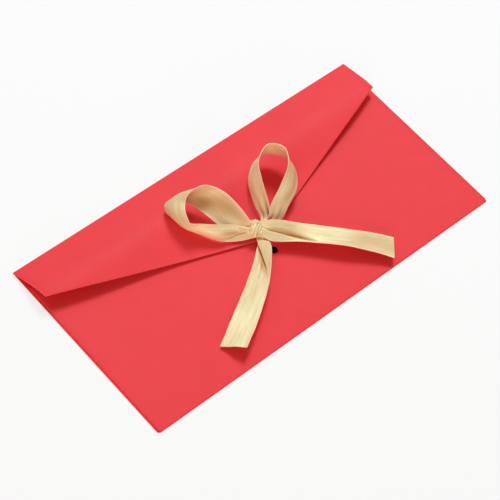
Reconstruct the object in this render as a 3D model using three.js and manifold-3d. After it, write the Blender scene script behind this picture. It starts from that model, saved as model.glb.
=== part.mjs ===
// A gift envelope in DL format: one sheet of red card folded into a pocket, with a pointed
// closing flap on the long side and a satin ribbon bow tied at the tip of the flap.
// Millimetres. X runs along the long side, Y from the bottom fold (-Y) to the crease of the
// flap (+Y), Z up from the table. The envelope lies on its rear panel, flap closed.

import * as THREE from 'three';
import { mergeVertices } from 'three/addons/utils/BufferGeometryUtils.js';
import Module from 'manifold-3d';

const wasm = await Module();
wasm.setup();

// Driving dimensions.
const length = 220;          // long side, between the side folds
const width = 110;           // bottom fold to flap crease
const card = 0.35;           // thickness of the card
const glue = 0.1;            // thickness of the glue film under the front panel
const tabWidth = 15;         // side tabs folded in from the rear panel
const mouth = 11.8;          // mouth of the pocket, below the flap's crease
const frontInset = 1;        // front panel's cut sides, inside the side folds
const gape = 2.4;            // rise of the front panel at the middle of the mouth
const flatHalf = 30;         // half length of the evenly raised middle of the mouth
const seamHalf = 94;         // where the raised front panel is flat again, beside the tabs
const sideDrop = 24.2;       // flap: card from the crease to its side corners
const tipDrop = 61;          // flap: card from the crease to the tip
const sideTaper = 1.3;       // flap: each side draws in this much down to the corner
const twist = 1.3;           // flap: the left corner stands up and the right one down this much
const creaseRise = 0.32;     // flap: its card starts this much above the axis of the crease
const tipRadius = 5;         // flap: rounding of the tip
const holeDiameter = 4.2;    // punched holes of the flap and the front panel
const holeToTip = 5.6;       // hole of the flap, short of the tip
const holePitch = 12.4;      // hole of the front panel, from the hole of the flap
const glueWidth = 8;         // glue strip on each tab
const glueEnd = 4.5;         // bare tab at each end of a glue strip
const ribbon = 12.7;         // width of the ribbon
const satin = 0.45;          // thickness of the ribbon
const knotLength = 10.4;     // knot: from the left loop's root to the right tail's
const knotWidth = 11;        // knot: along its wrapped band
const knotHeight = 6.8;      // knot: up from the flap
const bandWidth = 4.6;       // knot: the wrapped band
const gap = 0.3;             // air between pieces that could touch

// Colours.
const paint = {
  card: { color: 0xe4444d, roughness: 0.62, metalness: 0 },
  cardInside: { color: 0xd9414a, roughness: 0.7, metalness: 0 },
  glue: { color: 0xe9dfc8, roughness: 0.35, metalness: 0 },
  satin: { color: 0xdcbf90, roughness: 0.38, metalness: 0.05 },
};

// Small tools.
const lerp = THREE.MathUtils.lerp;
const clamp = THREE.MathUtils.clamp;

// Closed solid through rings of points. Each ring is a loop with the same even number of
// points, joined to the next one; strips across cap the first ring and the last.
function skin(rings) {
  const m = rings[0].length;
  const points = rings.flat();
  const faces = [];
  for (let i = 0; i + 1 < rings.length; i++) {
    for (let j = 0; j < m; j++) {
      const a = i * m + j, b = i * m + (j + 1) % m;
      faces.push([a, b, b + m], [a, b + m, a + m]);
    }
  }
  const last = (rings.length - 1) * m;
  for (let j = 0; j + 1 < m / 2; j++) {
    const [a, b, c, d] = [j, j + 1, m - 2 - j, m - 1 - j];
    faces.push([a, c, b], [a, d, c], [last + a, last + b, last + c], [last + a, last + c, last + d]);
  }
  const geometry = new THREE.BufferGeometry();
  geometry.setAttribute('position', new THREE.Float32BufferAttribute(points.flatMap((p) => [p.x, p.y, p.z]), 3));
  geometry.setIndex(faces.flat());
  return outward(geometry);
}

// Turns the faces so that they look out of the solid.
function outward(geometry) {
  const p = geometry.attributes.position, ix = geometry.index.array;
  const [a, b, c] = [0, 1, 2].map(() => new THREE.Vector3());
  let volume = 0;
  for (let i = 0; i < ix.length; i += 3) {
    a.fromBufferAttribute(p, ix[i]);
    b.fromBufferAttribute(p, ix[i + 1]);
    c.fromBufferAttribute(p, ix[i + 2]);
    volume += a.dot(b.cross(c));
  }
  if (volume < 0) for (let i = 0; i < ix.length; i += 3) [ix[i], ix[i + 1]] = [ix[i + 1], ix[i]];
  return geometry;
}

function solid(geometry) {
  const g = geometry.clone();
  g.deleteAttribute('normal');
  g.deleteAttribute('uv');
  const merged = mergeVertices(g, 1e-5);
  return new wasm.Manifold(new wasm.Mesh({
    numProp: 3,
    vertProperties: new Float32Array(merged.attributes.position.array),
    triVerts: new Uint32Array(merged.index.array),
  }));
}

function toGeometry(manifold) {
  const mesh = manifold.getMesh();
  const geometry = new THREE.BufferGeometry();
  geometry.setAttribute('position', new THREE.BufferAttribute(mesh.vertProperties, 3));
  geometry.setIndex(new THREE.BufferAttribute(mesh.triVerts, 1));
  return geometry;
}

const without = (geometry, ...cutters) =>
  toGeometry(cutters.reduce((left, cutter) => left.subtract(solid(cutter)), solid(geometry)));

function piece(name, geometry, look) {
  geometry.deleteAttribute('normal');
  geometry.computeVertexNormals();
  const mesh = new THREE.Mesh(geometry, new THREE.MeshStandardMaterial(paint[look]));
  mesh.name = name;
  return mesh;
}

// Upright round cutter for a punched hole.
function punch(y, z) {
  const drill = new THREE.CylinderGeometry(holeDiameter / 2, holeDiameter / 2, 10 * card, 32);
  drill.rotateX(Math.PI / 2);
  drill.translate(0, y, z);
  return drill;
}

// Body of the envelope.
const half = { x: length / 2, y: width / 2 };
const stack = 3 * card + glue;                     // rear panel, tab, glue, front panel
const frontUnder = stack - card;                   // underside of the front panel at the seams
const bottomY = -half.y + stack / 2;               // where the bottom fold starts
const mouthY = half.y - mouth;
const hinge = { y: half.y - card / 2, z: card };       // axis of the flap's crease
const rearTopY = hinge.y - card / 2 - gap;         // upper edge of the rear panel

// The rear panel is flat and lies on the table.
const rearPanel = (() => {
  const g = new THREE.BoxGeometry(length - 2 * card, rearTopY - bottomY, card);
  g.translate(0, (rearTopY + bottomY) / 2, card / 2);
  return g;
})();

// Each side tab starts as the rounded side fold and lies flat on the rear panel. Its ends
// are cut at a slant.
function sideTab(side) {
  const foldX = half.x - card;
  const section = [[foldX, 0]];
  for (let k = -2; k <= 3; k++) {
    const a = (k / 6) * Math.PI;
    section.push([foldX + card * Math.cos(a), card + card * Math.sin(a)]);
  }
  section.push([foldX, 2 * card], [half.x - tabWidth, 2 * card], [half.x - tabWidth, card], [foldX, card]);
  const slant = 4;
  const low = bottomY + 1, high = rearTopY - 1;
  const ring = (y, dir) => section.map(([x, z]) =>
    new THREE.Vector3(side * x, y + dir * slant * clamp((foldX - x) / tabWidth, 0, 1), z));
  const tab = new THREE.Shape(section.map(([x, z]) => new THREE.Vector2(x, z)));
  const g = new THREE.ExtrudeGeometry(tab, { depth: 1, steps: 1, bevelEnabled: false });
  const p = g.attributes.position;
  for (let i = 0; i < p.count; i++) {
    const [x, z, end] = [p.getX(i), p.getY(i), p.getZ(i)];
    const y = end > 0.5 ? ring(high, -1) : ring(low, 1);
    const near = y.find((q) => Math.abs(q.x - side * x) < 1e-4 && Math.abs(q.z - z) < 1e-4);
    p.setXYZ(i, near.x, near.y, near.z);
  }
  g.deleteAttribute('normal');
  g.deleteAttribute('uv');
  return outward(mergeVertices(g, 1e-5));
}

// One strip of glue on each tab holds the front panel down.
function glueStrip(side) {
  const strip = new THREE.BoxGeometry(glueWidth, mouthY - bottomY - 2 * glueEnd, glue);
  strip.translate(side * (half.x - tabWidth / 2), (mouthY + bottomY) / 2, 2 * card + glue / 2);
  return strip;
}

// Slope of the flap along its length of card s: it rises from the crease, arches over beyond
// its side corners and comes down to the front panel near the tip.
const slopes = [[0, 0.3], [8, 0.33], [16, 0.29], [22, 0.11], [28, -0.1], [36, -0.17], [46, -0.1],
  [56, 0.04], [66, 0.18]];
function slope(s) {
  const k = clamp(slopes.findIndex(([at]) => at > s), 1, slopes.length - 1);
  const [[from, a], [to, b]] = slopes.slice(k - 1, k + 1);
  return lerp(a, b, (s - from) / (to - from));
}

function flapAt(s) {
  const n = 40;
  let y = hinge.y, z = hinge.z + creaseRise;
  for (let i = 0; i < n; i++) {
    const a = slope((s * (i + 0.5)) / n);
    y -= (Math.cos(a) * s) / n;
    z += (Math.sin(a) * s) / n;
  }
  return { y, z, a: slope(s) };
}

const tip = flapAt(tipDrop);
const flapHole = flapAt(tipDrop - holeToTip);
const panelHoleY = flapHole.y - holePitch;

// The front panel turns up round the bottom fold and gapes towards the mouth, where it stands
// clear of the rear panel. Beside the tabs it stays flat.
function lift(x, y) {
  const up = 1 - (1 - clamp((y - bottomY) / (mouthY - bottomY), 0, 1)) ** 1.5;
  const out = clamp((Math.abs(x) - flatHalf) / (seamHalf - flatHalf), 0, 1);
  return gape * up * (0.5 + 0.5 * Math.cos(Math.PI * out));
}
const frontPanel = (() => {
  const rows = [];
  const r = stack / 2;
  for (let k = 0; k < 6; k++) {                    // bottom fold, half a turn
    const a = -Math.PI / 2 - (k / 6) * Math.PI;
    rows.push({ y: bottomY + r * Math.cos(a), z: r + r * Math.sin(a),
      yi: bottomY + (r - card) * Math.cos(a), zi: r + (r - card) * Math.sin(a) });
  }
  const steps = 18;
  for (let k = 0; k <= steps; k++) {
    const y = lerp(bottomY, mouthY, k / steps);
    rows.push({ y, z: stack, yi: y, zi: frontUnder });
  }
  const columns = 24, end = half.x - frontInset;
  const rings = [];
  for (let c = 0; c <= columns; c++) {
    const x = lerp(-end, end, c / columns);
    const top = rows.map((q) => new THREE.Vector3(x, q.y, q.z + lift(x, q.y)));
    const under = rows.map((q) => new THREE.Vector3(x, q.yi, q.zi + lift(x, q.y)));
    rings.push([...top, ...under.reverse()]);
  }
  const hole = punch(panelHoleY, stack + lift(0, panelHoleY));
  return without(skin(rings), hole);
})();

// Closing flap.
// Half length of the flap at s: slightly drawn-in sides, then a straight run to the tip.
const wideAt = half.x - sideTaper;
const tipStart = tipDrop - tipRadius * 0.35;
function flapHalf(s) {
  if (s <= sideDrop) return half.x - (sideTaper * s) / sideDrop;
  const straight = (wideAt * (tipDrop - s)) / (tipDrop - sideDrop);
  return s < tipStart ? straight : Math.sqrt(Math.max(tipDrop - s, 0) * (wideAt * (tipDrop - tipStart)
    / (tipDrop - sideDrop)) ** 2 / (tipDrop - tipStart));
}

const closureFlap = (() => {
  const stations = [];
  for (let s = 0; s < sideDrop; s += 2.5) stations.push(s);
  for (let s = sideDrop; s < tipStart; s += 2.5) stations.push(s);
  stations.push(tipStart, tipDrop - 1.1, tipDrop - 0.5, tipDrop - 0.1);
  const columns = 12, t = card / 2;
  const rings = stations.map((s) => {
    const { y, z, a } = flapAt(s);
    const top = [], under = [];
    for (let c = 0; c <= columns; c++) {
      const x = lerp(-1, 1, c / columns) * flapHalf(s);
      const h = z - twist * (x / wideAt) ** 3 * Math.min(s / sideDrop, 1);
      top.push(new THREE.Vector3(x, y + t * Math.sin(a), h + t * Math.cos(a)));
      under.push(new THREE.Vector3(x, y - t * Math.sin(a), h - t * Math.cos(a)));
    }
    return [...top, ...under.reverse()];
  });
  return without(skin(rings), punch(flapHole.y, flapHole.z));
})();

// Ribbon. The bow stands on the flap at its hole, and its points are measured from there.
// Each station of a strand is [a point on the lower edge], [the way across to the upper edge],
// and the share of the ribbon's width that shows there: less than 1 where it is gathered.
// Smooth curves run through both edges and the satin is stretched between them.
function strand(stations, steps) {
  const smooth = (points) => new THREE.CatmullRomCurve3(points, false, 'centripetal');
  const lower = stations.map(([at]) => new THREE.Vector3(...at));
  const upper = stations.map(([, across, share], i) =>
    new THREE.Vector3(...across).setLength(ribbon * share).add(lower[i]));
  const [low, high] = [smooth(lower), smooth(upper)];
  const rings = [];
  for (let i = 0; i <= steps; i++) {
    const u = i / steps;
    const a = low.getPoint(u), b = high.getPoint(u);
    const run = low.getTangent(u).add(high.getTangent(u)).normalize();
    const face = run.cross(b.clone().sub(a)).setLength(satin / 2);
    rings.push([a.clone().add(face), b.clone().add(face), b.clone().sub(face), a.clone().sub(face)]);
  }
  return skin(rings);
}

const leftLoop = [
  [[-3.8, -3.3, 2.1], [1.1, 2.1, 4.4], 0.4], [[-7.5, -1.9, 2], [1, 2.7, 6.1], 0.53],
  [[-12.8, 0.7, 1.8], [0.4, 4.9, 8.2], 0.75], [[-19, 5.5, 1.4], [0.5, 2.5, 11.2], 0.9],
  [[-25.5, 14.5, 2.4], [-1.5, -1, 11.9], 0.94], [[-30.5, 26.5, 4], [0, -7.5, 10.1], 1],
  [[-31.5, 35.5, 6.3], [4.5, -9, 8.1], 1], [[-23.5, 36, 6.4], [1.5, -6.5, 10.8], 1],
  [[-19.5, 27.5, 6.6], [6.6, 1.2, 10.9], 1.01], [[-17.9, 17, 7.1], [11.7, 5, 7.8], 1.17],
  [[-14.9, 7.8, 4.5], [11.2, 1.9, 6.4], 1.03], [[-10, 2.8, 3.9], [6.6, 0.4, 4.8], 0.64],
  [[-4.6, -0.2, 3.5], [3.1, 0.4, 3.4], 0.36],
];
const upperLoop = [
  [[-0.4, 1.3, 2.4], [1.7, -1.5, 1.7], 0.22], [[4.9, 3.6, 2.1], [3, -3.5, 2.4], 0.41],
  [[7.2, 10.8, 3.1], [3.1, -6.3, 5.2], 0.69], [[13.4, 23.4, 5.6], [0.4, -7.8, 10], 1],
  [[22.2, 29.6, 7.6], [-4.5, -5.8, 10.3], 1], [[30.7, 28.4, 8.4], [-3.5, -1.4, 12.1], 1],
  [[36.4, 21.1, 8.8], [-4.2, -1.8, 11.8], 1], [[36.5, 13.1, 8], [-7.3, -0.2, 10.4], 1],
  [[30, 5.3, 6], [-9.5, 3, 7.9], 1], [[20, 0.3, 4.3], [-10.8, 2.5, 6.4], 1.01],
  [[13.1, -2.7, 2.3], [-7.7, 2.6, 5], 0.75], [[2.4, -2.3, 2.1], [-2.5, 1.6, 3], 0.33],
];
const rightTail = [
  [[0.4, 2.1, 5.7], [-3.7, -4.6, -1.8], 0.49], [[1.9, 0.4, 7.4], [-4.1, -4.9, -3.5], 0.58],
  [[4.6, -1.7, 8.2], [-5.8, -7.4, -4.4], 0.82], [[9.6, -4.5, 7.1], [-6.8, -8.1, -4], 0.89],
  [[17.3, -9.4, 3.5], [-7.8, -8.6, 0], 0.91], [[35.5, -25.7, 1.3], [-9.4, -7.8, 3.3], 1],
  [[48.1, -38.5, 0.5], [-9.3, -8.5, 1.7], 1], [[52.3, -44, 0.3], [-8.5, -9.4, 0.9], 1],
];
const frontTail = [
  [[-3.6, -2.7, 2.1], [1.5, -2.4, 0.4], 0.22], [[-5.9, -5.8, 1.7], [4, -5.2, 1.9], 0.54],
  [[-11.1, -10.6, 0.6], [3.7, -7.6, 4.2], 0.74], [[-23.9, -19, -1.1], [5.2, -9.5, 5.6], 0.96],
  [[-44.1, -30.6, 0.4], [8.1, -9.5, 1.6], 1], [[-59.1, -39.5, 1.8], [9.6, -8.7, 1.5], 1],
];

// The knot: a band wrapped over the gathered roots of the strands, which show as pleats on
// either side of it. The band runs from the upper loop to the front tail.
const knotTurn = THREE.MathUtils.degToRad(-43);
function knotBody(extra = 0) {
  const size = new THREE.Vector3(knotLength / 2 + extra, knotWidth / 2 + extra, knotHeight / 2 + extra);
  const rings = [];
  const around = 36, rows = 22;
  for (let i = 1; i < rows; i++) {
    const v = (i / rows) * Math.PI;
    const x = size.x * Math.cos(v);
    const band = 1 - THREE.MathUtils.smoothstep(Math.abs(x), bandWidth / 2 - 0.4, bandWidth / 2 + 0.6);
    const round = Math.sin(v) ** 0.5 * lerp(0.8, 1, band);
    const ring = [];
    for (let j = 0; j < around; j++) {
      const u = (j / around) * 2 * Math.PI;
      const fold = 1 + 0.05 * (1 - band) * Math.cos(9 * u) + 0.025 * band * Math.cos(4 * x);
      ring.push(new THREE.Vector3(x, size.y * round * Math.cos(u) * fold, size.z * round * Math.sin(u) * fold));
    }
    rings.push(ring);
  }
  const knot = skin(rings);
  knot.rotateZ(knotTurn);
  knot.translate(-2.2, 0.2, card / 2 + gap + knotHeight / 2);
  return knot;
}
const knotRoom = knotBody(gap);

// The strand that ties the bow on: from the knot down through the hole of the flap, along
// below its tip and up again in front of it.
const tieStrand = (() => {
  const dy = tip.y - flapHole.y, dz = tip.z - flapHole.z;
  const clear = card / 2 + gap + satin / 2;
  const path = new THREE.CatmullRomCurve3([
    new THREE.Vector3(0, 0, 1.2),
    new THREE.Vector3(0, 0, 0),
    new THREE.Vector3(0, -0.6, -clear + 0.05),
    new THREE.Vector3(0, dy / 2, dz / 2 - clear),
    new THREE.Vector3(0, dy - 0.3, dz - clear + 0.1),
    new THREE.Vector3(0, dy - 0.9, dz + 0.3),
    new THREE.Vector3(0, dy - 0.4, dz + 1.5),
  ], false, 'centripetal');
  const reach = new THREE.Vector3(holeDiameter / 2 - 0.6, 0, 0);
  const steps = 24, rings = [];
  for (let i = 0; i <= steps; i++) {
    const p = path.getPoint(i / steps);
    const face = reach.clone().cross(path.getTangent(i / steps)).setLength(satin / 2);
    const [left, right] = [p.clone().sub(reach), p.clone().add(reach)];
    rings.push([left.clone().add(face), right.clone().add(face), right.clone().sub(face), left.clone().sub(face)]);
  }
  return skin(rings);
})();

// Assembly.
const envelope = new THREE.Group();
envelope.name = 'envelope';

const pocket = new THREE.Group();
pocket.name = 'pocket';
pocket.add(
  piece('rear_panel', rearPanel, 'cardInside'),
  piece('front_panel', frontPanel, 'card'),
  piece('left_side_tab', sideTab(-1), 'cardInside'),
  piece('right_side_tab', sideTab(1), 'cardInside'),
  piece('left_glue_strip', glueStrip(-1), 'glue'),
  piece('right_glue_strip', glueStrip(1), 'glue'),
);

const bow = new THREE.Group();
bow.name = 'bow';
bow.position.set(0, flapHole.y, flapHole.z);
bow.add(
  piece('ribbon_tie_strand', without(tieStrand, knotRoom), 'satin'),
  piece('ribbon_knot', knotBody(), 'satin'),
  piece('ribbon_left_loop', without(strand(leftLoop, 60), knotRoom), 'satin'),
  piece('ribbon_upper_loop', without(strand(upperLoop, 60), knotRoom), 'satin'),
  piece('ribbon_right_tail', without(strand(rightTail, 26), knotRoom), 'satin'),
  piece('ribbon_front_tail', without(strand(frontTail, 26), knotRoom), 'satin'),
);

const lid = new THREE.Group();
lid.name = 'flap_with_bow';
lid.add(piece('closure_flap', closureFlap, 'card'), bow);

envelope.add(pocket, lid);
export default envelope;
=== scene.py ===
"""Looks of a long red card envelope, closed with a satin ribbon bow, in the frame of its CAD model.

Metres, with X along the long side, Y towards the flap's crease and Z up from the table.
Shapes are written in millimetres and scaled by MM.
"""
import math

import bpy
import numpy as np
from mathutils import Matrix, Vector, noise


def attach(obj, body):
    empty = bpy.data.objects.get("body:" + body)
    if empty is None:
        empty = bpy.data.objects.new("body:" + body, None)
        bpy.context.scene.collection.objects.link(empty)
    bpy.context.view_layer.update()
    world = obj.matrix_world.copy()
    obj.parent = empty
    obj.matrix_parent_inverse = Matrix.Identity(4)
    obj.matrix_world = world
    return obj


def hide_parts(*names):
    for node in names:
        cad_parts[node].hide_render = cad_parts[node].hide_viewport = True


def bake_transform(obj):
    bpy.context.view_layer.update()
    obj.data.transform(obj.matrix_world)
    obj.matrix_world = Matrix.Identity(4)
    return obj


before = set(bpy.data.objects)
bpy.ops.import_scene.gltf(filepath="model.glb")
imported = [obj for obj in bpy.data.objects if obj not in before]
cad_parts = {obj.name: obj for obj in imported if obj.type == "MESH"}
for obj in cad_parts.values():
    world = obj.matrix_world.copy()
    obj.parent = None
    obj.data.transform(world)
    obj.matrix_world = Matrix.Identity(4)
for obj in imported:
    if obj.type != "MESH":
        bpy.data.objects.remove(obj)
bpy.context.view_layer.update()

MM = 0.001

# Card, in millimetres, as in the CAD source.
HALF_X, HALF_Y = 110.0, 55.0
CARD, GLUE, AIR = 0.35, 0.1, 0.3
STACK = 3 * CARD + GLUE
BOTTOM_Y = -HALF_Y + STACK / 2
MOUTH_Y = HALF_Y - 11.8
FRONT_END = HALF_X - 1.0
GAPE, FLAT_HALF, SEAM_HALF = 2.4, 30.0, 94.0
SIDE_DROP, TIP_DROP, SIDE_TAPER, TIP_RADIUS = 24.2, 61.0, 1.3, 5.0
WIDE_HALF = HALF_X - SIDE_TAPER
TIP_START = TIP_DROP - TIP_RADIUS * 0.35
TWIST, CREASE_RISE = 1.3, 0.32
HOLE_DIAMETER, HOLE_TO_TIP, HOLE_PITCH = 4.2, 5.6, 12.4
HINGE_Y, HINGE_Z = HALF_Y - CARD / 2, CARD
REAR_TOP_Y = HINGE_Y - CARD / 2 - AIR

# Ribbon, in millimetres: its width and its thickness.
RIBBON, SATIN = 12.7, 0.34

# Meshes: cells along each side of the square about a punched hole, rings between that square and
# the hole, vertices along and across a strand of ribbon, and the share of a sheet's thickness that
# the rounding of its rim takes.
HOLE_CELLS, HOLE_RINGS = 8, 5
STRAND_ROWS, STRAND_COLUMNS = 230, 56
RIM_SHARE = 0.36


# Small tools.

def clamp(x):
    """x held between 0 and 1."""
    return np.minimum(np.maximum(x, 0.0), 1.0)


def smooth(x, start, end):
    """Smooth step: 0 up to start, 1 from end on."""
    t = clamp((np.asarray(x, float) - start) / (end - start))
    return t * t * (3 - 2 * t)


def between(x, start, full, fade, end):
    """Smooth window: rises from start to full and falls from fade to end."""
    return smooth(x, start, full) * (1 - smooth(x, fade, end))


def bump(x, centre, width):
    """Bell of height 1 about centre."""
    return np.exp(-(((x - centre) / width) ** 2))


def unit(rows):
    """The vectors in the rows, each at length 1."""
    return rows / np.linalg.norm(rows, axis=1)[:, None]


def mesh_object(name, points, faces, uvs=None):
    """Mesh object through points in millimetres. uvs holds one pair for each point."""
    mesh = bpy.data.meshes.new(name)
    mesh.from_pydata([tuple(MM * float(c) for c in p) for p in points], [], faces)
    if uvs is not None:
        layer = mesh.uv_layers.new(name="UVMap")
        index = np.empty(len(mesh.loops), int)
        mesh.loops.foreach_get("vertex_index", index)
        layer.data.foreach_set("uv", np.asarray(uvs, np.float32)[index].ravel())
    mesh.validate()
    mesh.update()
    obj = bpy.data.objects.new(name, mesh)
    bpy.context.scene.collection.objects.link(obj)
    mesh.shade_smooth()
    return obj


def apply_modifiers(obj):
    """Replaces the object's mesh by what its modifiers make of it."""
    bpy.context.view_layer.update()
    evaluated = obj.evaluated_get(bpy.context.evaluated_depsgraph_get())
    mesh = bpy.data.meshes.new_from_object(evaluated)
    obj.modifiers.clear()
    old, obj.data = obj.data, mesh
    bpy.data.meshes.remove(old)
    mesh.name = obj.name


def thicken(obj, thickness, materials, sharp=40):
    """Gives a surface its thickness on both sides and rounds the rim a little.

    The last of the materials is the rim's.
    """
    for material in materials:
        obj.data.materials.append(material)
    solid = obj.modifiers.new("thickness", "SOLIDIFY")
    solid.thickness = thickness * MM
    solid.offset = 0
    solid.use_even_offset = True
    solid.material_offset_rim = len(materials) - 1
    rim = obj.modifiers.new("rim", "BEVEL")
    rim.width = thickness * RIM_SHARE * MM
    rim.material = len(materials) - 1
    rim.segments = 2
    rim.limit_method = "ANGLE"
    rim.angle_limit = math.radians(60)
    apply_modifiers(obj)
    obj.data.set_sharp_from_angle(angle=math.radians(sharp))


def grid_faces(rows, columns):
    return [
        (i * columns + j, i * columns + j + 1, (i + 1) * columns + j + 1, (i + 1) * columns + j)
        for i in range(rows - 1) for j in range(columns - 1)
    ]


def spline(knots, count):
    """Centripetal Catmull-Rom curve through the knots, sampled at count even parameters."""
    knots = np.asarray(knots, float)
    first, last = 2 * knots[0] - knots[1], 2 * knots[-1] - knots[-2]
    p = np.vstack([first, knots, last])
    out = []
    for u in np.linspace(0, len(knots) - 1, count):
        i = min(int(u), len(knots) - 2)
        t = u - i
        p0, p1, p2, p3 = p[i:i + 4]
        d = [max(np.linalg.norm(b - a) ** 0.5, 1e-4) for a, b in ((p0, p1), (p1, p2), (p2, p3))]
        m1 = (p1 - p0) / d[0] - (p2 - p0) / (d[0] + d[1]) + (p2 - p1) / d[1]
        m2 = (p2 - p1) / d[1] - (p3 - p1) / (d[1] + d[2]) + (p3 - p2) / d[2]
        m1, m2 = m1 * d[1], m2 * d[1]
        out.append(
            (2 * t**3 - 3 * t**2 + 1) * p1 + (t**3 - 2 * t**2 + t) * m1
            + (-2 * t**3 + 3 * t**2) * p2 + (t**3 - t**2) * m2
        )
    return np.array(out)


# Forms shared with the CAD source.

# Places along the flap from its crease, and its slope at each, in radians.
SLOPES = ((0, 8, 16, 22, 28, 36, 46, 56, 66), (0.3, 0.33, 0.29, 0.11, -0.1, -0.17, -0.1, 0.04, 0.18))


def slope(s):
    return np.interp(s, *SLOPES)


# The flap's profile: the slope summed up in short steps.
FLAP_S = np.linspace(0, TIP_DROP + 2, 1300)
FLAP_SLOPE = slope((FLAP_S[1:] + FLAP_S[:-1]) / 2)
FLAP_Y = HINGE_Y - np.concatenate([[0], np.cumsum(np.cos(FLAP_SLOPE) * np.diff(FLAP_S))])
FLAP_Z = HINGE_Z + CREASE_RISE + np.concatenate([[0], np.cumsum(np.sin(FLAP_SLOPE) * np.diff(FLAP_S))])


def flap_at(s):
    """Middle of the flap's card at s along it from the crease: y and z."""
    return np.interp(s, FLAP_S, FLAP_Y), np.interp(s, FLAP_S, FLAP_Z)


def flap_twist(x, s):
    """Rise of the flap away from its middle: the left corner stands up, the right one down."""
    return -TWIST * (x / WIDE_HALF) ** 3 * min(s / SIDE_DROP, 1)


def flap_half(s):
    """Half the flap's width at s: slightly tapered sides, slanted edges and a rounded tip."""
    if s <= SIDE_DROP:
        return HALF_X - SIDE_TAPER * s / SIDE_DROP
    if s < TIP_START:
        return WIDE_HALF * (TIP_DROP - s) / (TIP_DROP - SIDE_DROP)
    end = WIDE_HALF * (TIP_DROP - TIP_START) / (TIP_DROP - SIDE_DROP)
    return end * math.sqrt(max(TIP_DROP - s, 0) / (TIP_DROP - TIP_START))


def lift(x, y):
    """Rise of the front panel: none at the bottom fold and the side seams, most at the mouth's middle."""
    up = 1 - (1 - clamp((y - BOTTOM_Y) / (MOUTH_Y - BOTTOM_Y))) ** 1.5
    out = clamp((np.abs(x) - FLAT_HALF) / (SEAM_HALF - FLAT_HALF))
    return GAPE * up * (0.5 + 0.5 * np.cos(np.pi * out))


HOLE_S = TIP_DROP - HOLE_TO_TIP
HOLE_Y, HOLE_Z = (float(v) for v in flap_at(HOLE_S))
PANEL_HOLE_Y = HOLE_Y - HOLE_PITCH


# Node tools.

def new_material(name):
    material = bpy.data.materials.new(name)
    material.use_nodes = True
    tree = material.node_tree
    tree.nodes.clear()
    out = tree.nodes.new("ShaderNodeOutputMaterial")
    shader = tree.nodes.new("ShaderNodeBsdfPrincipled")
    tree.links.new(shader.outputs["BSDF"], out.inputs["Surface"])
    return material, tree, shader


def node(tree, kind, inputs=(), **settings):
    """New node. inputs is a list of (input, value or output socket)."""
    made = tree.nodes.new(kind)
    for key, value in settings.items():
        setattr(made, key, value)
    for key, value in inputs:
        if isinstance(value, bpy.types.NodeSocket):
            tree.links.new(value, made.inputs[key])
        else:
            made.inputs[key].default_value = value
    return made


def ramp(tree, factor, stops):
    """Grey ramp through (place, value) stops."""
    made = node(tree, "ShaderNodeValToRGB", [("Fac", factor)])
    band = made.color_ramp
    while len(band.elements) < len(stops):
        band.elements.new(0.5)
    for element, (place, value) in zip(band.elements, stops):
        element.position = place
        element.color = (value, value, value, 1)
    return made.outputs["Color"]


def maths(tree, operation, a, b):
    return node(tree, "ShaderNodeMath", [(0, a), (1, b)], operation=operation).outputs[0]


def noise_factor(tree, vector, scale, detail, roughness=0.5):
    inputs = [("Vector", vector), ("Scale", scale), ("Detail", detail), ("Roughness", roughness)]
    return node(tree, "ShaderNodeTexNoise", inputs).outputs["Fac"]


def mix_colour(tree, factor, a, b, blend="MIX"):
    made = node(tree, "ShaderNodeMix", data_type="RGBA", blend_type=blend)
    for key, value in (("Factor", factor), ("A", a), ("B", b)):
        socket = [i for i in made.inputs if i.name == key and i.enabled][0]
        if isinstance(value, bpy.types.NodeSocket):
            tree.links.new(value, socket)
        else:
            socket.default_value = value
    return [o for o in made.outputs if o.enabled][0]


def linear(r, g, b):
    """Linear colour of an sRGB one in 0..255."""
    return tuple(((c / 255 + 0.055) / 1.055) ** 2.4 if c > 10.3 else c / 255 / 12.92 for c in (r, g, b))


# Materials.

# Painted shade on the pocket's floor under the front panel's hole: its colour and its reach.
HOLE_PAINTED_SHADE, HOLE_PAINTED_SHADE_REACH = linear(40, 8, 10), 6 * MM


def paint_shade_spot(tree, tone, place, spot):
    """Paints shade on upper faces about a spot, in millimetres: painted shade on the pocket's floor under the
    hole.
    """
    span = node(tree, "ShaderNodeVectorMath", [(0, place), (1, [MM * c for c in spot])], operation="DISTANCE")
    near = maths(tree, "DIVIDE", span.outputs["Value"], HOLE_PAINTED_SHADE_REACH)
    near = ramp(tree, near, [(0.5, 0.94), (1.0, 0.0)])
    normal = node(tree, "ShaderNodeNewGeometry").outputs["Normal"]
    upward = node(tree, "ShaderNodeSeparateXYZ", [("Vector", normal)]).outputs["Z"]
    top = maths(tree, "GREATER_THAN", upward, 0.5)
    return mix_colour(tree, maths(tree, "MULTIPLY", near, top), tone, (*HOLE_PAINTED_SHADE, 1))


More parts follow.
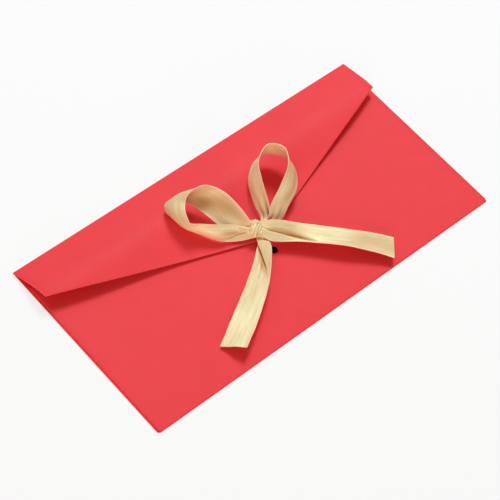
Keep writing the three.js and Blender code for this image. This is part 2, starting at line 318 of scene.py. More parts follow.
def card_material(name, colour, roughness, shade=None):
    """Dyed card: a fine felt of fibres, a soft cloudiness in the colour and a faint sheen. Given shade, a
    spot in millimetres, it also paints shade on the upper faces about it.
    """
    material, tree, shader = new_material(name)
    place = node(tree, "ShaderNodeTexCoord").outputs["Object"]
    cloud = noise_factor(tree, place, 90.0, 4.0)
    fibres = noise_factor(tree, place, 2600.0, 3.0, 0.6)
    grain = noise_factor(tree, place, 900.0, 3.0)
    light = tuple(min(1, c * 1.02) for c in colour)
    dark = tuple(c * 0.98 for c in colour)
    tone = mix_colour(tree, ramp(tree, cloud, [(0.25, 0.0), (0.75, 1.0)]), (*dark, 1), (*light, 1))
    speck = ramp(tree, fibres, [(0.3, 0.955), (0.7, 1.03)])
    tone = mix_colour(tree, 1.0, tone, speck, "MULTIPLY")
    if shade:
        tone = paint_shade_spot(tree, tone, place, shade)
    tree.links.new(tone, shader.inputs["Base Color"])
    rough = ramp(tree, grain, [(0.3, roughness - 0.05), (0.7, roughness + 0.07)])
    tree.links.new(rough, shader.inputs["Roughness"])
    height = maths(tree, "ADD", maths(tree, "MULTIPLY", fibres, 0.6), maths(tree, "MULTIPLY", grain, 0.8))
    relief = node(tree, "ShaderNodeBump", [("Height", height), ("Strength", 0.16), ("Distance", 0.00006)])
    tree.links.new(relief.outputs["Normal"], shader.inputs["Normal"])
    shader.inputs["Specular IOR Level"].default_value = 0.15
    shader.inputs["Sheen Weight"].default_value = 0.02
    shader.inputs["Sheen Roughness"].default_value = 0.5
    shader.inputs["Sheen Tint"].default_value = (1.0, 0.72, 0.72, 1)
    return material


def satin_material():
    """Satin: fine threads along the ribbon, crossing weft, soft mottling, bright dense selvedges, and painted
    shade where the fold attribute says.
    """
    material, tree, shader = new_material("satin")
    # u runs along the ribbon and v across it, both in millimetres.
    uv = node(tree, "ShaderNodeUVMap", uv_map="UVMap").outputs["UV"]
    split = node(tree, "ShaderNodeSeparateXYZ", [("Vector", uv)])
    along, across = split.outputs["X"], split.outputs["Y"]
    # Distance in from the nearer selvedge.
    inward = maths(tree, "MINIMUM", across, maths(tree, "SUBTRACT", RIBBON, across))
    inward = maths(tree, "DIVIDE", inward, 1.4)
    selvedge = ramp(tree, inward, [(0.0, 1.0), (0.3, 1.0), (0.52, 0.12), (1.0, 0.0)])

    def streaks(along_scale, across_scale, detail, roughness=0.5):
        """Noise with its own scale along the ribbon and across it."""
        x = maths(tree, "MULTIPLY", along, along_scale)
        y = maths(tree, "MULTIPLY", across, across_scale)
        spread = node(tree, "ShaderNodeCombineXYZ", [("X", x), ("Y", y)]).outputs[0]
        return noise_factor(tree, spread, 1.0, detail, roughness)

    threads = streaks(0.16, 7.0, 3.0, 0.62)
    weft = streaks(5.5, 1.1, 2.0)
    mottle = streaks(0.07, 0.55, 2.0)
    pale, deep = linear(251, 236, 194), linear(237, 213, 160)
    tone = mix_colour(tree, ramp(tree, mottle, [(0.3, 0.0), (0.7, 1.0)]), (*deep, 1), (*pale, 1))
    tone = mix_colour(tree, 1.0, tone, ramp(tree, threads, [(0.28, 0.9), (0.72, 1.05)]), "MULTIPLY")
    tone = mix_colour(tree, 1.0, tone, ramp(tree, weft, [(0.3, 0.975), (0.7, 1.02)]), "MULTIPLY")
    # Painted shade: the fold attribute pulls the colour towards a dark tawny, in folds, creases and other
    # places in shade.
    fold = node(tree, "ShaderNodeAttribute", attribute_name="fold").outputs["Fac"]
    tone = mix_colour(tree, fold, tone, (*linear(188, 122, 60), 1))
    # The selvedges are paler and pinker: partly their denser weave, partly a painted highlight and reflection
    # of the red card.
    tone = mix_colour(tree, maths(tree, "MULTIPLY", selvedge, 0.8), tone, (*linear(255, 208, 176), 1))
    tree.links.new(tone, shader.inputs["Base Color"])
    rough = maths(tree, "ADD", maths(tree, "MULTIPLY", threads, 0.6), maths(tree, "MULTIPLY", mottle, 0.4))
    tree.links.new(ramp(tree, rough, [(0.3, 0.42), (0.7, 0.55)]), shader.inputs["Roughness"])
    height = maths(tree, "ADD", maths(tree, "MULTIPLY", threads, 0.7), maths(tree, "MULTIPLY", weft, 0.35))
    height = maths(tree, "ADD", height, maths(tree, "MULTIPLY", selvedge, 0.9))
    relief = node(tree, "ShaderNodeBump", [("Height", height), ("Strength", 0.4), ("Distance", 0.00009)])
    tree.links.new(relief.outputs["Normal"], shader.inputs["Normal"])
    tangent = node(tree, "ShaderNodeTangent", direction_type="UV_MAP", uv_map="UVMap")
    tree.links.new(tangent.outputs["Tangent"], shader.inputs["Tangent"])
    shader.inputs["Metallic"].default_value = 0.1
    shader.inputs["Specular IOR Level"].default_value = 0.35
    shader.inputs["Specular Tint"].default_value = (1.0, 0.94, 0.82, 1)
    shader.inputs["Anisotropic"].default_value = 0.5
    shader.inputs["Sheen Weight"].default_value = 0.1
    shader.inputs["Sheen Roughness"].default_value = 0.35
    shader.inputs["Sheen Tint"].default_value = (1.0, 0.9, 0.72, 1)
    return material


def glue_material():
    """Dried glue: yellowish, with streaks where it was spread."""
    material, tree, shader = new_material("dried_glue")
    place = node(tree, "ShaderNodeTexCoord").outputs["Object"]
    spread = node(tree, "ShaderNodeMapping", [("Vector", place), ("Scale", (900.0, 120.0, 900.0))]).outputs[0]
    streak = noise_factor(tree, spread, 1.0, 3.0)
    tone = mix_colour(tree, streak, (*linear(222, 210, 184), 1), (*linear(240, 231, 208), 1))
    tree.links.new(tone, shader.inputs["Base Color"])
    tree.links.new(ramp(tree, streak, [(0.3, 0.25), (0.7, 0.45)]), shader.inputs["Roughness"])
    relief = node(tree, "ShaderNodeBump", [("Height", streak), ("Strength", 0.3), ("Distance", 0.00005)])
    tree.links.new(relief.outputs["Normal"], shader.inputs["Normal"])
    return material


CARD_OUT = card_material("dyed_card", linear(243, 64, 71), 0.56)
CARD_IN = card_material("dyed_card_inside", linear(239, 58, 65), 0.66)
# The rear panel's card gets painted shade about the place under the front panel's hole.
REAR_LOOK = card_material("dyed_card_rear_painted_shade", linear(239, 58, 65), 0.66, (0, PANEL_HOLE_Y, CARD))
CARD_EDGE = card_material("cut_edge", linear(240, 104, 108), 0.7)
SATIN_LOOK = satin_material()
GLUE_LOOK = glue_material()


def finish_piece(obj, body, replaced):
    """Hangs the piece on its body's empty and hides the CAD node that it replaces."""
    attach(obj, body)
    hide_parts(replaced)


# Card panels.

def holed_sheet(name, xs, rows, hole_row, place):
    """Sheet over the parameters x (columns) and row (rows), with a punched hole at x = 0 and hole_row.

    A square of cells about the hole's centre is replaced by rings that turn from the square to
    the circle. place maps (x, row) to a point.
    """
    xs, rows = np.asarray(xs), np.asarray(rows)
    hole_i, hole_j = int(np.argmin(abs(rows - hole_row))), int(np.argmin(abs(xs)))
    k = HOLE_CELLS // 2
    points, faces, index = [], [], {}
    for i, row in enumerate(rows):
        for j, x in enumerate(xs):
            if abs(i - hole_i) < k and abs(j - hole_j) < k:
                continue
            index[i, j] = len(points)
            points.append((x, row))
    for i in range(len(rows) - 1):
        for j in range(len(xs) - 1):
            if hole_i - k <= i < hole_i + k and hole_j - k <= j < hole_j + k:
                continue
            faces.append((index[i, j], index[i, j + 1], index[i + 1, j + 1], index[i + 1, j]))
    # Once round the square, then ring by ring in to the circle.
    side = range(HOLE_CELLS)
    border = [(hole_i - k, hole_j - k + n) for n in side] + [(hole_i - k + n, hole_j + k) for n in side]
    border += [(hole_i + k, hole_j + k - n) for n in side] + [(hole_i + k - n, hole_j - k) for n in side]
    ring = [index[cell] for cell in border]
    around = len(ring)
    outer = np.array([points[i] for i in ring])
    centre = np.array([0.0, hole_row])
    circle = centre + unit(outer - centre) * (HOLE_DIAMETER / 2)
    for step in range(1, HOLE_RINGS + 1):
        t = step / HOLE_RINGS
        new = list(range(len(points), len(points) + around))
        points += [tuple(p) for p in outer * (1 - t) + circle * t]
        faces += [(ring[i], ring[(i + 1) % around], new[(i + 1) % around], new[i]) for i in range(around)]
        ring = new
    return mesh_object(name, [place(x, row) for x, row in points], faces)


def build_flap():
    """Flap as one arched sheet: columns squeezed to its outline, with square cells about the hole."""
    # The square about the hole reaches this far each way.
    inner = 2.9
    near = np.linspace(-inner, inner, HOLE_CELLS + 1)
    rows = list(np.linspace(0, SIDE_DROP, 21)) + list(np.linspace(SIDE_DROP, HOLE_S - 4, 24))[1:]
    rows += list(HOLE_S + near) + list(np.linspace(HOLE_S + inner, TIP_START, 3))[1:]
    rows += [TIP_DROP - short for short in (1.1, 0.6, 0.25, 0.06)]
    far = inner + (HALF_X - inner) * np.linspace(0, 1, 34)[1:] ** 1.25
    xs = np.concatenate([-far[::-1], near, far])

    def place(x, s):
        half = flap_half(s)
        if half <= inner:
            px = x / HALF_X * half
        elif abs(x) <= inner:
            px = x
        else:
            px = math.copysign(inner + (abs(x) - inner) / (HALF_X - inner) * (half - inner), x)
        y, z = flap_at(s)
        return px, float(y), float(z) + flap_twist(px, s)

    flap = holed_sheet("flap_card", xs, rows, HOLE_S, place)
    thicken(flap, CARD, [CARD_OUT, CARD_EDGE])
    finish_piece(flap, "flap", "closure_flap")


def build_front():
    """Front panel from the bottom fold up to the mouth."""
    radius = STACK / 2 - CARD / 2
    # Rows of the fold are numbered from a place below the panel's own rows, which are places along Y.
    fold = {-200.0 + i: -math.pi / 2 - t * math.pi for i, t in enumerate(np.linspace(0, 1, 13)[:-1])}
    inner = 3.4
    near = np.linspace(-inner, inner, HOLE_CELLS + 1)
    rows = list(fold) + list(np.linspace(BOTTOM_Y, PANEL_HOLE_Y - 4, 26)) + list(PANEL_HOLE_Y + near)
    rows += list(np.linspace(PANEL_HOLE_Y + 4, MOUTH_Y, 22))
    far = inner + (FRONT_END - inner) * np.linspace(0, 1, 40)[1:]
    xs = np.concatenate([-far[::-1], near, far])

    def place(x, row):
        if row in fold:
            turn = fold[row]
            return x, BOTTOM_Y + radius * math.cos(turn), STACK / 2 + radius * math.sin(turn)
        return x, row, STACK - CARD / 2 + float(lift(x, row))

    panel = holed_sheet("front_card", xs, rows, PANEL_HOLE_Y, place)
    thicken(panel, CARD, [CARD_OUT, CARD_EDGE])
    finish_piece(panel, "pocket", "front_panel")


def build_crease():
    """Bent strip of card that joins the rear panel to the flap across the crease."""
    # Radius of the bend at the card's middle, and its centre's distance past the rear panel's end.
    radius, past_end = 0.285, 0.17
    middle_y, middle_z = REAR_TOP_Y + past_end, CARD / 2 + radius
    turns = np.linspace(-math.pi / 2, math.pi / 2 - slope(0.0), 13)
    # It starts inside the rear panel and ends inside the flap, and is a little thinner and shorter than
    # they are, so that no faces coincide.
    path = [(REAR_TOP_Y - 0.6, CARD / 2), (REAR_TOP_Y, CARD / 2)]
    path += [(middle_y + radius * math.cos(a), middle_z + radius * math.sin(a)) for a in turns]
    path += [flap_at(0.4), flap_at(1.0)]
    xs = np.linspace(-HALF_X + 0.05, HALF_X - 0.05, 60)
    points = [(x, float(y), float(z)) for y, z in path for x in xs]
    crease = mesh_object("crease_card", points, grid_faces(len(path), len(xs)))
    thicken(crease, CARD * 0.96, [CARD_OUT])
    # All of the bend is beside the hinge, so that the ends stay inside the panels that they join.
    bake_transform(crease)


# Ribbon strands. The numbers are stations, measured from the flap's hole: [point on the lower edge],
# [the way across], share of the ribbon's width.
LEFT_LOOP = [
    [[-3.8, -3.3, 2.1], [1.4, 2.3, 4], 0.38], [[-7.5, -1.9, 2], [1.7, 3.3, 4.7], 0.47],
    [[-12.7, 0.8, 1.5], [1.4, 5.8, 6.2], 0.68], [[-18.9, 5.6, 1.1], [2.4, 4.1, 7.6], 0.71],
    [[-25.1, 14.8, 1.7], [0.1, 0.3, 8.8], 0.7], [[-29.2, 22.8, 3], [-0.9, -4.6, 8.9], 0.79],
    [[-31.5, 29, 4.7], [1.6, -8.5, 8.4], 0.95], [[-32.2, 33.5, 6], [4, -9.1, 8], 1],
    [[-29.5, 37, 6.3], [4.1, -9.2, 8], 1.01], [[-23.5, 36, 6.4], [1.5, -6.5, 10.8], 1],
    [[-19.5, 27.5, 6.6], [6.6, 1.2, 10.9], 1.01], [[-17.9, 17, 7.1], [11.7, 5, 7.8], 1.17],
    [[-14.9, 7.8, 4.5], [11.2, 1.9, 6.4], 1.03], [[-10, 2.8, 3.9], [6.6, 0.4, 4.8], 0.64],
    [[-4.6, -0.2, 3.5], [3.1, 0.4, 3.4], 0.36],
]
UPPER_LOOP = [
    [[-0.4, 1.3, 2.4], [1.7, -1.5, 1.7], 0.22], [[4.9, 3.6, 2.1], [3, -3.5, 2.4], 0.41],
    [[7.2, 10.8, 3.1], [3.1, -6.3, 5.2], 0.69], [[13.4, 23.4, 5.6], [0.4, -7.8, 10], 1],
    [[23, 29.6, 7.6], [-4.5, -5.8, 10.3], 1], [[30.7, 28.4, 8.4], [-2.5, -0.9, 11.7], 0.94],
    [[36.4, 21.1, 8.8], [-3.2, 0, 11.3], 0.92], [[35.6, 13.1, 8], [-6.8, -0.2, 10.4], 1],
    [[30, 5.3, 6], [-9.5, 3, 7.9], 1], [[20, 0.3, 4.3], [-10.8, 2.5, 6.4], 1.01],
    [[13.1, -2.7, 2.3], [-7.7, 2.6, 5], 0.75], [[2.4, -2.3, 2.1], [-2.5, 1.6, 3], 0.33],
]
RIGHT_TAIL = [
    [[0.4, 2.1, 5.7], [-3.7, -4.6, -1.8], 0.49], [[1.9, 0.4, 7.4], [-4.1, -4.9, -3.5], 0.58],
    [[4.6, -1.7, 8.2], [-5.8, -7.4, -4.4], 0.82], [[9.6, -4.5, 7.1], [-6.8, -8.1, -4], 0.89],
    [[17.3, -9.4, 3.5], [-7.8, -8.6, 0], 0.91], [[35.5, -25.7, 1.3], [-9.4, -7.8, 3.3], 1],
    [[48.1, -38.5, 0.5], [-9.3, -8.5, 1.7], 1], [[52.3, -44, 0.3], [-8.5, -9.4, 0.9], 1],
]
FRONT_TAIL = [
    [[-3.6, -2.7, 2.1], [1.5, -2.4, 0.4], 0.22], [[-5.9, -5.8, 1.7], [4, -5.2, 1.9], 0.54],
    [[-11.1, -10.6, 0.6], [3.7, -7.6, 4.2], 0.74], [[-23.9, -19, -1.1], [5.2, -9.5, 5.6], 0.96],
    [[-43.7, -30.3, -0.4], [7.2, -10.3, 3.6], 1.03], [[-57.5, -38.2, -1.7], [7.3, -10.1, 5.8], 1.08],
]


def add_painted_shade(obj, painted_shade_values):
    """Tells the satin's material how much painted shade each point gets, from 0 to 1, in its fold attribute.
    """
    layer = obj.data.attributes.new("fold", "FLOAT", "POINT")
    layer.data.foreach_set("value", np.asarray(painted_shade_values, np.float32).ravel())


def strand(name, stations, shape):
    """Ribbon between two smooth edges through the stations. Gives the object and its length.

    shape(u, v, length) gives how far each point stands off the straight line between the edges, how
    far it shifts along that line, both in millimetres, and how much painted shade it gets, from 0 to 1.
    u runs along the ribbon and v across it, both from 0 to 1.
    """
    lower, ways, shares = (np.array(part, float) for part in zip(*stations))
    upper = lower + unit(ways) * (RIBBON * shares)[:, None]
    low, high = spline(lower, STRAND_ROWS), spline(upper, STRAND_ROWS)
    # Even spacing along the middle of the ribbon.
    step = np.linalg.norm(np.diff((low + high) / 2, axis=0), axis=1)
    run = np.concatenate([[0], np.cumsum(step)])
    length = run[-1]
    even = np.linspace(0, length, STRAND_ROWS)
    low = np.stack([np.interp(even, run, low[:, c]) for c in range(3)], axis=1)
    high = np.stack([np.interp(even, run, high[:, c]) for c in range(3)], axis=1)
    normal = unit(np.cross(np.gradient((low + high) / 2, axis=0), high - low))
    over = unit(high - low)
    u = np.linspace(0, 1, STRAND_ROWS)[:, None]
    v = np.linspace(0, 1, STRAND_COLUMNS)[None, :]
    size = (STRAND_ROWS, STRAND_COLUMNS)
    off, side, fold = (np.broadcast_to(part, size) for part in shape(u, v, length))
    points = low[:, None] * (1 - v[..., None]) + high[:, None] * v[..., None]
    points = points + normal[:, None] * off[..., None] + over[:, None] * side[..., None]
    points = points + np.array([0, HOLE_Y, HOLE_Z])
    uvs = np.stack([np.broadcast_to(u * length, size), np.broadcast_to(v * RIBBON, size)], axis=-1)
    obj = mesh_object(name, points.reshape(-1, 3), grid_faces(*size), uvs.reshape(-1, 2))
    add_painted_shade(obj, clamp(fold))
    thicken(obj, SATIN, [SATIN_LOOK], 60)
    return obj, length


def sharp_fold(v, at, lap, valley, reach):
    """Sharp fold along the strand at v = at: the ribbon laps up beyond it and dips before it."""
    return lap * smooth(v - at, -0.015, 0.02) - valley * bump(v, at - 0.6 * reach, reach)


def overlap(v, at, lap, dip, reach, over):
    """Pleat at v = at: the part beyond it lies on top and reaches back over a dip before it.

    Gives the height and the shift across.
    """
    beyond = smooth(v - at, -0.012, 0.024)
    before = smooth(v - at, -reach, -0.012) * (1 - beyond)
    shift = 0.4 * before - 0.6 * beyond * (1 - smooth(v - at, 0.024, 0.024 + reach))
    return lap * beyond - dip * before, over * shift


# Shapes of the four strands, for strand(). Each s is the distance along it in millimetres.

def left_shape(u, v, length):
    s = u * length
    # A fold that slants away from the knot, and two soft pleats where the back strand meets it.
    root = between(s, 0, 3, 13, 18)
    line = 0.72 - 0.036 * s
    off = -root * sharp_fold(v, line, -0.55, 0.6, 0.05)
    back = smooth(s, length - 26, length - 6)
    off = off + back * (0.45 * bump(v, 0.3, 0.13) - 0.5 * bump(v, 0.62, 0.13))
    # The front and back strands are hollow across.
    front = between(s, 8, 22, 36, 52)
    hollow = between(s, length - 60, length - 44, length - 18, length - 8)
    off = off + np.sin(np.pi * v) * (-2.0 * front - 1.8 * hollow)
    # Painted shade in the fold and inside the back strand, and a little all over but for two places left pale
    # as painted highlight.
    fold = 0.5 * root * bump(v, line, 0.03) + 0.35 * bump(s, 13, 6) * bump(v, 0.5, 0.12)
    fold = fold + 0.45 * bump(s, length - 30, 11) * bump(v, 0.36, 0.28)
    fold = fold + 0.4 * bump(s, length - 16, 9) * bump(v, 0.72, 0.2)
    pale = 1.4 * bump(s, 7, 9) * bump(v, 0.88, 0.25) + 1.2 * bump(s, 25, 11) * bump(v, 0.6, 0.5)
    return off, 0.0, fold + 0.33 - 0.33 * np.minimum(pale, 1)


def upper_shape(u, v, length):
    s = u * length
    # Pleats at both ends, where the loop goes into the knot.
    root = 1 - smooth(s, 12, 24)
    off = root * (0.95 * bump(v, 0.77, 0.07) - 0.4 * bump(v, 0.5, 0.13) + 0.35 * bump(v, 0.25, 0.06))
    back = smooth(s, length - 18, length - 5)
    pleats = -0.5 * bump(v, 0.5, 0.1) + 0.45 * bump(v, 0.3, 0.07) + 0.35 * bump(v, 0.72, 0.07)
    off = off + back * pleats
    # A slow wave round the loop.
    belly = between(s, 10, 26, length - 26, length - 10)
    off = off + belly * 0.8 * np.sin(np.pi * v) * np.cos(2 * np.pi * s / 52 + 0.4)
    # Painted shade in the main pleat, along the far strand and at the top of the loop, and a little all over.
    far = between(s, length - 46, length - 34, length - 22, length - 14)
    fold = 0.75 * root * bump(v, 0.77, 0.09) + 0.35 * far * bump(v, 0.3, 0.12)
    fold = fold + 0.4 * bump(s, length / 2 + 1, 5) * bump(v, 0.55, 0.35)
    return off, 0.0, fold + 0.06


def right_shape(u, v, length):
    s = u * length
    # A fold that runs from the knot to the upper edge, and a short pleat beside it.
    root = between(s, 0, 3, 26, 36)
    line = np.interp(s, (3, 8, 13.5, 20, 25, 31), (0.48, 0.56, 0.65, 0.79, 0.88, 0.96))
    off = -root * sharp_fold(v, line, 0.4, 0.7, 0.06)
    off = off + 0.4 * (1 - smooth(s, 6, 14)) * bump(v, 0.28, 0.07)
    # Ripples along the flat part.
    ripple = 0.3 * np.sin(2 * np.pi * s / 40 + 1.1) * np.sin(np.pi * v)
    ripple = ripple + 0.1 * np.sin(2 * np.pi * s / 13) * (v - 0.5)
    off = off + ripple * smooth(s, 14, 26)
    # Painted shade before the fold, at one place of the flat part, towards the cut end and past the fold, and
    # a little all over.
    before = between(v - line, -0.34, -0.02, -0.02, 0.01)
    fold = 0.6 * before**0.6 * between(s, 3, 8, 22, 32) + 0.5 * bump(s, 21, 7) * bump(v, 0.45, 0.35)
    fold = fold + 0.05 + 0.5 * smooth(s, 40, 56) * bump(v, 0.5, 0.6)
    fold = fold + 0.15 * smooth(v - line, 0, 0.03) * (1 - smooth(s, 24, 34))
    return off, 0.0, fold


def front_shape(u, v, length):
    s = u * length
    # A pleat that crosses the tail from its lower edge at the knot to its upper edge, and a pinch.
    root = between(s, 1, 4, 13, 26)
    line = np.interp(s, (2, 6, 11.5, 15, 18.5, 26, 32), (0.0, 0.13, 0.42, 0.6, 0.75, 0.9, 0.96))
    height, shift = overlap(v, line, 0.6, 1.2, 0.3, 0.4)
    pinch = -0.45 * bump(v, 0.42, 0.035) * bump(s, 20, 4)
    # Ripples along the flat part, and a curl at the cut end.
    ripple = 0.25 * np.sin(2 * np.pi * s / 31 + 0.4) * np.sin(np.pi * v)
    ripple = ripple + 0.16 * np.sin(2 * np.pi * s / 9.5) * (v - 0.5)
    curl = 0.2 * smooth(s, length - 7, length) * np.cos(2 * np.pi * v * 1.6 + 0.5)
    off = root * height + pinch + (ripple + curl) * smooth(s, 14, 28)
    # Painted shade in the dip before the pleat, a little past it, and in the pinch.
    start = np.interp(s, (2, 6, 11.5, 18.5, 25), (-0.15, -0.03, 0.1, 0.4, 0.7))
    before = smooth(v - start, -0.04, 0.12) * (1 - smooth(v - line, -0.005, 0.02))
    fold = 0.85 * before * between(s, 3, 8, 17, 26)
    fold = fold + 0.35 * smooth(v - line, 0, 0.05) * (1 - smooth(s, 16, 24))
    fold = fold + 0.5 * bump(v, 0.42, 0.04) * bump(s, 21, 4)
    return off, root * shift, fold


def build_ribbon():
    """The two loops and the two tails."""
    for name, stations, shape, replaced, rests_on in (
        ("satin_left_loop", LEFT_LOOP, left_shape, "ribbon_left_loop", ["ribbon_knot", "closure_flap"]),
        ("satin_upper_loop", UPPER_LOOP, upper_shape, "ribbon_upper_loop", ["ribbon_knot"]),
        ("satin_right_tail", RIGHT_TAIL, right_shape, "ribbon_right_tail", ["ribbon_knot"]),
        ("satin_front_tail", FRONT_TAIL, front_shape, "ribbon_front_tail", ["ribbon_knot"]),
    ):
        obj, length = strand(name, stations, shape)
        finish_piece(obj, "flap", replaced)


# Knot: lumps of crumpled satin. Each has its middle, measured from the flap's hole, its sizes, its turn
# about the upright axis in degrees, and its wrinkles as (place along it, slant, depth, breadth).
KNOT_LUMPS = [
    ((-2.3, 0.3, 4.1), (6.8, 9.8, 7.0), -43,
     [(-2.3, 0.3, 0.55, 0.3), (-0.9, 0.34, 0.3, 0.22), (0.7, 0.3, 0.5, 0.25), (2.0, 0.2, 0.45, 0.25)]),
    ((-4.5, -1.3, 3.2), (7.6, 3.0, 4.2), -38,
     [(-1.5, 0.4, 0.3, 0.25), (0.6, 0.3, 0.35, 0.3), (2.0, 0.2, 0.25, 0.2)]),
    ((-2.0, -3.6, 4.0), (3.6, 3.6, 3.4), -20, [(-0.6, 0.5, 0.3, 0.25), (0.8, 0.3, 0.25, 0.25)]),
    ((-1.2, -5.6, 2.9), (3.2, 3.6, 2.6), -30, [(-0.5, 0.3, 0.3, 0.3)]),
]


def knot_depth(x, y, spot, wrinkles):
    """How deep the wrinkles and two scales of crumples are at a place on a lump."""
    depth = sum(d * float(bump(x - slant * y, at, breadth)) for at, slant, d, breadth in wrinkles)
    depth += 0.6 * max(0.0, 1 - 6 * abs(noise.noise(spot * 0.36))) ** 2
    depth += 0.25 * max(0.0, 1 - 5 * abs(noise.noise(spot * 0.8 + Vector((7, 3, 1))))) ** 2
    return depth


def build_knot():
    around, rows = 96, 64
    points, uvs, faces, painted_shade_values = [], [], [], []
    for middle, size, turn, wrinkles in KNOT_LUMPS:
        first = len(points)
        sx, sy, sz = (c / 2 for c in size)
        spin = Matrix.Rotation(math.radians(turn), 3, "Z")
        for i in range(rows + 1):
            v = i / rows * math.pi
            x = sx * math.cos(v)
            rounding = max(math.sin(v), 1e-4) ** 0.62
            for j in range(around):
                w = j / around * 2 * math.pi
                y, z = sy * rounding * math.cos(w), sz * rounding * math.sin(w)
                depth = knot_depth(x, y, Vector((x, y, z)) + Vector(middle), wrinkles)
                scale = 1 - depth * math.sin(v) / max(math.hypot(y, z), 1.0)
                p = spin @ Vector((x, y * scale, z * scale)) + Vector(middle)
                points.append((p.x, p.y + HOLE_Y, p.z + HOLE_Z))
                uvs.append((w * 4.5, 3 + (x + sx) * 0.8))
                # Painted shade, deepest in the wrinkles and crumples.
                painted_shade_values.append(min(0.8, max(0.0, 1.5 * depth - 0.35)))
        faces += [(first + i * around + j, first + i * around + (j + 1) % around,
                   first + (i + 1) * around + (j + 1) % around, first + (i + 1) * around + j)
                  for i in range(rows) for j in range(around)]
    obj = mesh_object("satin_knot", points, faces, uvs)
    add_painted_shade(obj, painted_shade_values)
    obj.data.materials.append(SATIN_LOOK)
    finish_piece(obj, "flap", "ribbon_knot")


def build_tie():
    """Strand through the flap's hole and round its tip, gathered to fit the hole."""
    tip_y, tip_z = (float(v) for v in flap_at(TIP_DROP))
    dy, dz = tip_y - HOLE_Y, tip_z - HOLE_Z
    half_strand = 0.225
    clear = CARD / 2 + AIR + half_strand
    path = spline([(0, 0, 1.2), (0, 0, 0), (0, -0.6, -clear + 0.05), (0, dy / 2, dz / 2 - clear),
                   (0, dy - 0.3, dz - clear + 0.1), (0, dy - 0.9, dz + 0.3), (0, dy - 0.4, dz + 1.5)], 40)
    reach = HOLE_DIAMETER / 2 - 0.6
    columns, crimp, crimps = 11, 0.12, 7
    points, uvs = [], []
    run = np.concatenate([[0], np.cumsum(np.linalg.norm(np.diff(path, axis=0), axis=1))])
    for p, t, s in zip(path, unit(np.gradient(path, axis=0)), run):
        normal = np.cross((1, 0, 0), t)
        for k in range(columns):
            w = k / (columns - 1) * 2 - 1
            q = p + np.array([w * reach, 0, 0]) + normal * crimp * math.cos(w * crimps)
            points.append((q[0], q[1] + HOLE_Y, q[2] + HOLE_Z))
            uvs.append((s, (w + 1) / 2 * RIBBON))
    obj = mesh_object("satin_tie", points, grid_faces(len(path), columns), uvs)
    thicken(obj, SATIN, [SATIN_LOOK], 60)
    finish_piece(obj, "flap", "ribbon_tie_strand")


def dress_plain_panels():
    """The flat and hidden pieces keep their CAD meshes and get their looks."""
    for name, material in (("rear_panel", REAR_LOOK), ("left_side_tab", CARD_IN), ("right_side_tab", CARD_IN),
                           ("left_glue_strip", GLUE_LOOK), ("right_glue_strip", GLUE_LOOK)):
        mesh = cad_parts[name].data
        mesh.materials.clear()
        mesh.materials.append(material)


build_front()
build_flap()
build_crease()
build_ribbon()
build_knot()
build_tie()
dress_plain_panels()


# Stage: white floor and surroundings to the eye, a small key lamp, a large soft one, a low one in
# front, and a reddish fill.

FLOOR_HALF = 3000.0
FILL, FILL_COLOUR = 0.33, (1.0, 0.52, 0.43)
LAMP_DISTANCE = 2.2
# Name, direction that the light comes from, size in metres, power in watts, colour.
LAMPS = [
    ("key", (0.6, 0.6, 1.0), 0.7, 31.0, (0.73, 0.98, 1.0)),
    ("soft", (0.3, 1.0, 1.2), 2.2, 14.0, (0.73, 0.98, 1.0)),
    ("front", (-0.75, -0.7, 0.2), 1.4, 29.0, (0.96, 1.0, 0.88)),
]


def seen_by_eye(tree):
    """1 for rays from the camera and those mirrored or let through, 0 for the rays that light things."""
    path = node(tree, "ShaderNodeLightPath")
    mirrored = maths(tree, "MAXIMUM", path.outputs["Is Glossy Ray"], path.outputs["Is Transmission Ray"])
    return maths(tree, "MAXIMUM", path.outputs["Is Camera Ray"], mirrored)


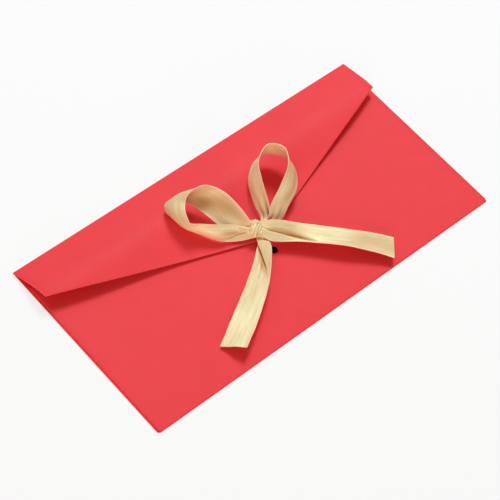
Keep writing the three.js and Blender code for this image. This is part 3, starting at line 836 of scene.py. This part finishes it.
def build_floor():
    corners = [(x * FLOOR_HALF, y * FLOOR_HALF, 0) for x, y in ((-1, -1), (1, -1), (1, 1), (-1, 1))]
    floor = mesh_object("floor", corners, [(0, 1, 2, 3)])
    material, tree, shader = new_material("white_floor")
    shader.inputs["Base Color"].default_value = (0.9, 0.9, 0.9, 1)
    shader.inputs["Roughness"].default_value = 0.9
    shader.inputs["Specular IOR Level"].default_value = 0.1
    # To the eye the floor is three quarters a white backdrop, so that it keeps a faint shadow.
    backdrop = maths(tree, "MULTIPLY", seen_by_eye(tree), 0.75)
    white = node(tree, "ShaderNodeEmission", [("Color", (1, 1, 1, 1)), ("Strength", 1.0)])
    both = node(tree, "ShaderNodeMixShader", [(0, backdrop), (1, shader.outputs[0]), (2, white.outputs[0])])
    surface = [n for n in tree.nodes if n.type == "OUTPUT_MATERIAL"][0].inputs["Surface"]
    tree.links.new(both.outputs[0], surface)
    floor.data.materials.append(material)


def build_surroundings():
    world = bpy.data.worlds.new("studio")
    bpy.context.scene.world = world
    world.use_nodes = True
    tree = world.node_tree
    tree.nodes.clear()
    fill = node(tree, "ShaderNodeBackground", [("Color", (*FILL_COLOUR, 1)), ("Strength", FILL)])
    backdrop = node(tree, "ShaderNodeBackground", [("Color", (1, 1, 1, 1)), ("Strength", 1.0)])
    both = node(tree, "ShaderNodeMixShader",
                [(0, seen_by_eye(tree)), (1, fill.outputs[0]), (2, backdrop.outputs[0])])
    out = node(tree, "ShaderNodeOutputWorld")
    tree.links.new(both.outputs[0], out.inputs["Surface"])


def build_lamps():
    for name, came_from, size, watts, colour in LAMPS:
        lamp = bpy.data.lights.new(name, "AREA")
        lamp.shape = "DISK"
        lamp.size = size
        lamp.energy = watts
        lamp.color = colour
        direction = Vector(came_from).normalized()
        holder = bpy.data.objects.new(name, lamp)
        holder.location = direction * LAMP_DISTANCE
        holder.rotation_euler = direction.to_track_quat("Z", "Y").to_euler()
        bpy.context.scene.collection.objects.link(holder)


build_floor()
build_surroundings()
build_lamps()


# Camera at the photograph's place: its directions, its place in metres, and its lens and the sensor's
# width in millimetres.
RIGHT = (0.74464, -0.65601, 0.12310)
UP = (0.50063, 0.67092, 0.54702)
FORWARD = (0.44145, 0.34571, -0.82802)
CAMERA_PLACE = (-0.42260, -0.32827, 0.77699)
LENS, SENSOR = 136.67, 36


def build_camera():
    camera = bpy.data.objects.new("camera", bpy.data.cameras.new("camera"))
    camera.data.lens = LENS
    camera.data.sensor_width = SENSOR
    camera.data.clip_start = 0.01
    rows = [(r, u, -f, p) for r, u, f, p in zip(RIGHT, UP, FORWARD, CAMERA_PLACE)]
    camera.matrix_world = Matrix((*rows, (0, 0, 0, 1)))
    bpy.context.scene.collection.objects.link(camera)
    bpy.context.scene.camera = camera
    bpy.context.scene.view_settings.view_transform = "Standard"


build_camera()

bpy.context.view_layer.update()
